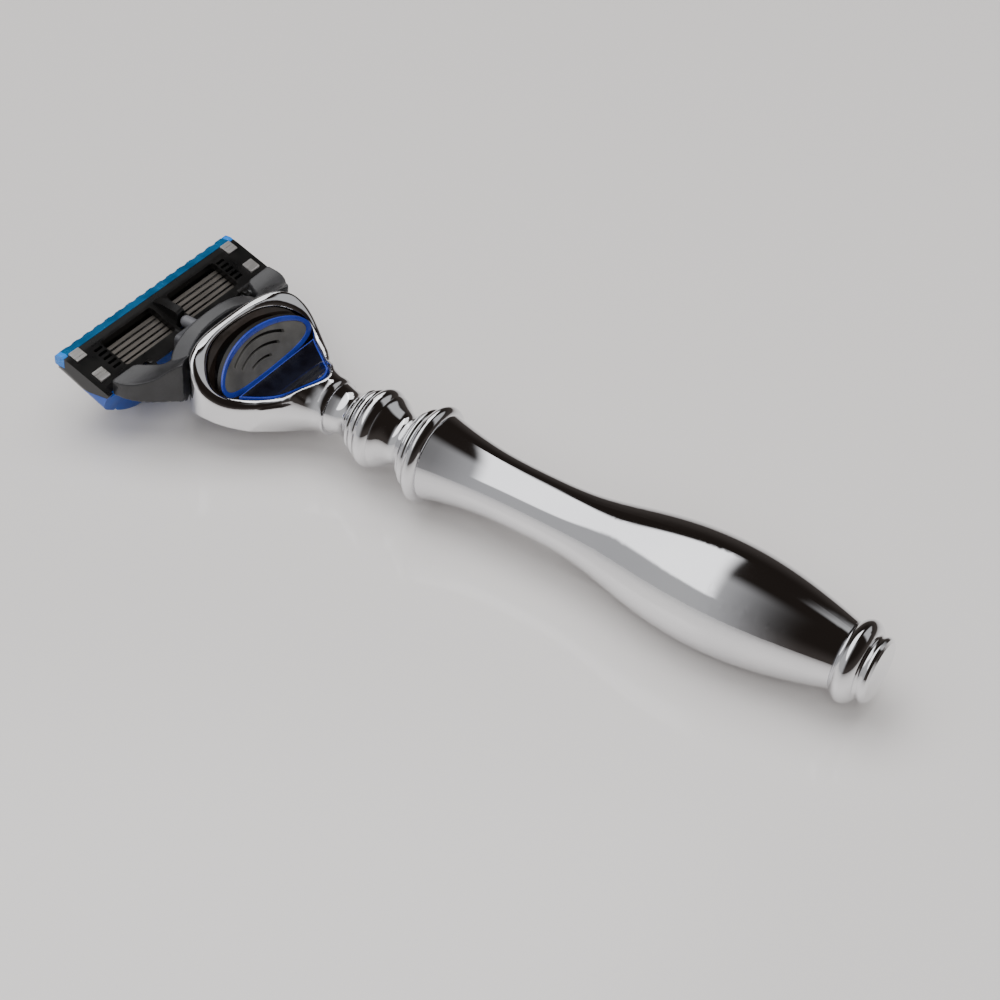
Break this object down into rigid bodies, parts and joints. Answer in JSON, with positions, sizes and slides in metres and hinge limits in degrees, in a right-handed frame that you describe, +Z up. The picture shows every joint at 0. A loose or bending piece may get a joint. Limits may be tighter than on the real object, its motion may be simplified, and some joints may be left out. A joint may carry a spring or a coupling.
{
  "type": "cartridge razor",
  "caption": "Wet shaving razor with turned chrome handle, spoon-shaped head with thumb release button, and pivoting multi-blade cartridge on a docking yoke.",
  "frame": {"origin": "on the table plane, below the middle of the length and width of the razor as it lies on its grip and guard", "axes": "+X along the handle from cartridge to butt, +Y across the cartridge, +Z up from the table"},
  "size_m": [0.1342, 0.0414, 0.0175],
  "materials": {
    "chrome_plate": "mirror-bright plating",
    "rod_steel": "turned",
    "insert_black": "moulded satin",
    "cover_gloss": "high gloss",
    "button_blue": "satin gloss",
    "carrier_black": "satin",
    "comb_end_blue": "gloss",
    "pad_grey": "fine matte",
    "spring_steel": "drawn wire",
    "ejector_grey": "moulded",
    "nose_grey": "moulded satin",
    "plunger_grey": "moulded satin",
    "yoke_charcoal": "satin",
    "housing_black": "satin",
    "guard_blue": "soft satin",
    "comb_teal": "gloss",
    "strip_pale": "waxy",
    "clip_metal": "bright rolled",
    "blade_steel": "ground"
  },
  "bodies": {
    "handle": {"grip": "chrome_plate", "butt_cap": "chrome_plate", "flange_collar": "chrome_plate", "neck": "chrome_plate", "tie_rod": "rod_steel", "head_bezel": "chrome_plate", "insert_body": "insert_black", "surround": "insert_black", "tail_cover": "cover_gloss", "cover_frame": "button_blue", "docking_nose": "nose_grey", "plunger_spring": "spring_steel", "button_spring": "spring_steel"},
    "button": {"button_carrier": "carrier_black", "button_rim": "button_blue", "button_pad": "pad_grey", "ejector": "ejector_grey"},
    "plunger": {"plunger": "plunger_grey"},
    "yoke": {"yoke": "yoke_charcoal"},
    "cartridge": {"housing": "housing_black", "cap_rail": "housing_black", "lubricating_strip": "strip_pale", "guard": "guard_blue", "trimmer_comb": "comb_teal", "comb_end_left": "comb_end_blue", "comb_end_right": "comb_end_blue", "trimmer_blade": "blade_steel", "clip_left": "clip_metal", "clip_right": "clip_metal", "blade_1": "blade_steel", "blade_2": "blade_steel", "blade_3": "blade_steel", "blade_4": "blade_steel", "blade_5": "blade_steel", "blade_support_1": "blade_steel", "blade_support_2": "blade_steel", "blade_support_3": "blade_steel", "blade_support_4": "blade_steel", "blade_support_5": "blade_steel"}
  },
  "joints": [
    {"name": "cartridge_release", "type": "slide", "parent": "handle", "child": "yoke", "axis": [-1, 0, 0], "range_m": [0, 0.02]},
    {"name": "cartridge_pivot", "type": "hinge", "parent": "yoke", "child": "cartridge", "pos_m": [-0.05525, 0, 0.0104], "axis": [0, 1, 0], "range_deg": [0, 40], "stiffness_Nm_per_rad": 0.02, "springref_deg": -11.46},
    {"name": "plunger_slide", "type": "slide", "parent": "handle", "child": "plunger", "axis": [1, 0, 0], "range_m": [0, 0.0022], "deforming": ["plunger_spring"]},
    {"name": "button_slide", "type": "slide", "parent": "handle", "child": "button", "axis": [-1, 0, 0], "range_m": [0, 0.0014], "stiffness_N_per_m": 800, "springref_m": -0.0006, "deforming": ["button_spring"]}
  ],
  "couplings": [
    {"joint": "plunger_slide", "follows": "cartridge_pivot", "m_per_rad": 0.00315}
  ]
}
